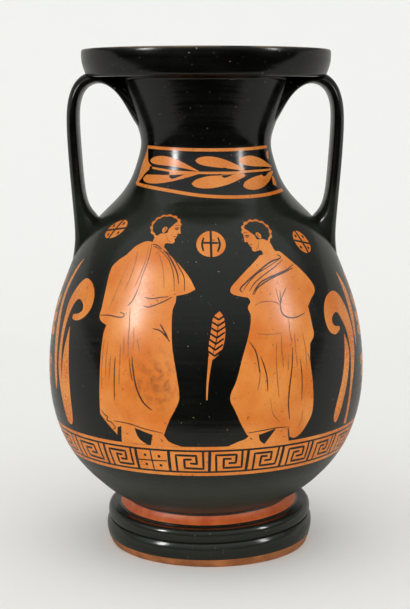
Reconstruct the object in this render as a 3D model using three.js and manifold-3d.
// A wheel-thrown clay storage jar with a low swelling belly, a short concave neck, a broad lip,
// two upright strap handles and a foot in two steps. Millimetres, +Z up, the painted front faces -Y,
// the origin is on the axis at the resting plane. The jar is fired as one, so it is one solid.

import * as THREE from 'three';
import { mergeVertices } from 'three/addons/utils/BufferGeometryUtils.js';
import Module from 'manifold-3d';

const jarHeight = 330;
const lipRadius = 81.8;
const lipUnderside = 312;
const mouthRadius = 68;
const neckTopRadius = 57.5;
const neckRadius = 42.8;
const bellyRadius = 106.3;
const ankleRadius = 55.4;
const ankleHeight = 33;
const upperStepRadius = 68.7;
const lowerStepRadius = 69.8;
const baseRadius = 66.8;
const standRingWidth = 9.5;
const wallThickness = 5.5;
const floorHeight = 39.5;

// The foot was luted on a little to the right and tilted, high at the right and the back.
const footShift = 2.2;
const footTiltAcross = 0.02;
const footTiltBack = 0.04;
const footBlendHeight = 44;

const strapHalfWidth = 14;
const strapRibDepth = 0.1;
const strapRibCount = 3;
const strapSquareness = 0.8;
const handleOffset = -0.5;

// How much wider the strap is at its roots, and over how many steps each root fades out.
const rootSpread = 0.5;
const upperRootFade = 3;
const lowerRootFade = 2;
const lowerRootShare = 0.6;

const turnedSegments = 52;
const strapSides = 16;
const strapSteps = 22;

const cutBeyond = 10;
const sameCornerWithin = 1e-4;

const v = (radius, height) => new THREE.Vector2(radius, height);

// Even samples of the smooth curve that the control points pull on: a uniform cubic B-spline,
// its end points repeated so that the curve starts and ends on them.
function softCurve(controls, count) {
  const first = controls[0];
  const last = controls[controls.length - 1];
  const pulls = [first, first, ...controls, last, last];
  const spans = pulls.length - 3;
  const samples = [];
  for (let i = 0; i < count; i += 1) {
    const along = (spans * i) / (count - 1);
    const span = Math.min(Math.floor(along), spans - 1);
    const t = along - span;
    const weights = [
      (1 - t) ** 3 / 6,
      (3 * t ** 3 - 6 * t ** 2 + 4) / 6,
      (-3 * t ** 3 + 3 * t ** 2 + 3 * t + 1) / 6,
      t ** 3 / 6,
    ];
    const sample = v(0, 0);
    weights.forEach((weight, k) => sample.addScaledVector(pulls[span + k], weight));
    samples.push(sample);
  }
  return samples;
}

// The outside of the body, from the ankle above the foot to the top of the neck.
const bodyControls = [
  v(ankleRadius, ankleHeight), v(68.2, 40), v(79.5, 50), v(91.8, 64), v(101.4, 84),
  v(bellyRadius, 110), v(105, 140), v(99.7, 166), v(90.6, 188), v(83.3, 206), v(71.6, 221),
  v(56.8, 234), v(48.9, 246), v(neckRadius + 2.4, 258), v(neckRadius - 1.2, 270), v(45.8, 282),
  v(51.3, 296), v(neckTopRadius, lipUnderside - 1),
];

// The two steps of the foot, from the resting ring up to the ankle.
function footOutline() {
  const lowerStep = softCurve([
    v(baseRadius, 0.6), v(68.2, 4), v(lowerStepRadius + 0.1, 10), v(lowerStepRadius + 0.1, 15.5),
    v(upperStepRadius - 0.5, 18.4),
  ], 8);
  const upperStep = softCurve([
    v(upperStepRadius - 1.3, 18.6), v(upperStepRadius, 20), v(upperStepRadius + 0.1, 24.5),
    v(upperStepRadius - 1.4, 27.2), v(upperStepRadius - 4.4, 27),
  ], 7);
  const redFillet = [v(60.6, 26.9), v(60, 27.8), v(56.8, 30)];
  return [v(baseRadius - 0.8, 0), ...lowerStep, ...upperStep, ...redFillet];
}

function lipOutline() {
  return softCurve([
    v(lipRadius - 7, lipUnderside), v(lipRadius - 3.4, lipUnderside), v(lipRadius - 1.9, 316.5),
    v(lipRadius - 0.2, 321.5), v(lipRadius, 326), v(lipRadius, 329.2), v(lipRadius - 1.2, jarHeight),
    v(lipRadius - 4, jarHeight),
  ], 9);
}

// The hollow follows the outside at the wall's thickness, between a flat floor and the mouth.
function hollowOutline() {
  const outside = softCurve(bodyControls, 19);
  const inside = [];
  for (let i = 3; i < outside.length - 2; i += 1) {
    const along = outside[i + 1].clone().sub(outside[i - 1]).normalize();
    inside.push(v(outside[i].x - wallThickness * along.y, outside[i].y + wallThickness * along.x));
  }
  const floor = [v(0, floorHeight), v(34, floorHeight + 0.3), v(54, floorHeight + 3)];
  const mouth = [v(51, 312), v(57, 319), v(mouthRadius - 3, 326.5), v(mouthRadius + 1, jarHeight)];
  return [...floor, ...inside, ...mouth, v(mouthRadius + 1, jarHeight + cutBeyond),
    v(0, jarHeight + cutBeyond)];
}

function footHollowOutline() {
  const ring = baseRadius - standRingWidth;
  const below = [v(0, -cutBeyond), v(ring, -cutBeyond)];
  return [...below, v(ring, 0.5), v(ring - 2.5, 9), v(50, 18), v(42, 24.5), v(0, 29)];
}

// Turns an outline about Z; the outline runs upwards on its outer side.
function turned(outline) {
  const geometry = new THREE.LatheGeometry(outline, turnedSegments);
  geometry.rotateX(Math.PI / 2);
  return geometry;
}

// Moves and tilts the foot, fading out towards the belly and, for the tilt, towards the ground.
function leanFoot(geometry) {
  const place = geometry.attributes.position;
  for (let i = 0; i < place.count; i += 1) {
    const rise = Math.min(Math.max(place.getZ(i) / footBlendHeight, 0), 1);
    const tilt = Math.sin(Math.PI * rise);
    const slide = 0.5 + 0.5 * Math.cos(Math.PI * Math.max(2 * rise - 1, 0));
    const lift = footTiltAcross * place.getX(i) + footTiltBack * place.getY(i);
    place.setX(i, place.getX(i) + footShift * slide);
    place.setZ(i, place.getZ(i) + tilt * lift);
  }
  return geometry;
}

// The strap's outer and inner faces seen from the front, both from inside the neck, up under the
// lip, and down into the shoulder.
const strapOuterLine = [
  v(36, 298), v(46, 305), v(56, 311), v(66, 314.6), v(75.5, 315.6), v(83.6, 311.4), v(88.7, 303),
  v(91, 292), v(91.1, 278), v(90.1, 260), v(88.9, 244), v(87.7, 230), v(86.6, 216), v(86.2, 205),
  v(87.2, 195), v(88.4, 186), v(88, 178), v(85, 170),
];
const strapInnerLine = [
  v(34, 268), v(43, 277), v(49.5, 288), v(55, 299.5), v(63, 306.9), v(71, 309), v(78.3, 305.6),
  v(82.2, 298), v(83.3, 288), v(82.8, 276), v(81.9, 262), v(80.9, 247), v(79.4, 234), v(76.2, 225),
  v(69, 219.4), v(68, 206), v(74, 192), v(78, 180),
];

// A closed unit cylinder is bent to lie between the two lines. It widens towards both roots, and
// its outer face carries shallow lengthwise ribs.
function strapHandle(side) {
  const geometry = new THREE.CylinderGeometry(1, 1, 1, strapSides, strapSteps);
  const outer = softCurve(strapOuterLine, strapSteps + 1);
  const inner = softCurve(strapInnerLine, strapSteps + 1);
  const place = geometry.attributes.position;
  for (let i = 0; i < place.count; i += 1) {
    const step = Math.round((0.5 - place.getY(i)) * strapSteps);
    const lowerRoot = lowerRootShare * Math.exp((step - strapSteps) / lowerRootFade);
    const nearRoot = Math.exp(-step / upperRootFade) + lowerRoot;
    const across = Math.sign(place.getX(i)) * Math.abs(place.getX(i)) ** strapSquareness;
    const outward = Math.sign(place.getZ(i)) * Math.abs(place.getZ(i)) ** strapSquareness;
    const rib = strapRibDepth * Math.max(outward, 0) * Math.cos(strapRibCount * Math.PI * across);
    const spot = inner[step].clone().lerp(outer[step], 0.5 + 0.5 * outward * (1 + rib));
    const halfWidth = strapHalfWidth * (1 + rootSpread * nearRoot);
    place.setXYZ(i, side * spot.x + handleOffset, side * halfWidth * across, spot.y);
  }
  return geometry;
}

const wasm = await Module();
wasm.setup();

// Makes a solid of a closed geometry: shared corners merged, empty triangles at the poles left out.
function solid(geometry) {
  geometry.deleteAttribute('normal');
  geometry.deleteAttribute('uv');
  const merged = mergeVertices(geometry, sameCornerWithin);
  const corners = merged.index.array;
  const kept = [];
  for (let i = 0; i < corners.length; i += 3) {
    const [a, b, c] = [corners[i], corners[i + 1], corners[i + 2]];
    if (a !== b && b !== c && c !== a) {
      kept.push(a, b, c);
    }
  }
  return new wasm.Manifold(new wasm.Mesh({
    numProp: 3,
    vertProperties: new Float32Array(merged.attributes.position.array),
    triVerts: new Uint32Array(kept),
  }));
}

function geometryOf(shape) {
  const mesh = shape.getMesh();
  const geometry = new THREE.BufferGeometry();
  geometry.setAttribute('position', new THREE.BufferAttribute(mesh.vertProperties, 3));
  geometry.setIndex(new THREE.BufferAttribute(mesh.triVerts, 1));
  geometry.computeVertexNormals();
  return geometry;
}

const outside = [
  v(0, 0), ...footOutline(), ...softCurve(bodyControls, 24), v(neckTopRadius + 4, lipUnderside - 0.4),
  ...lipOutline(), v(0, jarHeight),
];

const jar = solid(leanFoot(turned(outside)))
  .add(solid(strapHandle(1)))
  .add(solid(strapHandle(-1)))
  .subtract(solid(turned(hollowOutline())))
  .subtract(solid(leanFoot(turned(footHollowOutline()))));

const blackGlossedClay = new THREE.MeshStandardMaterial({ color: 0x1c1c19, roughness: 0.3, metalness: 0 });
const pelike = new THREE.Mesh(geometryOf(jar), blackGlossedClay);
pelike.name = 'pelike';

const part = new THREE.Group();
part.add(pelike);

export default part;
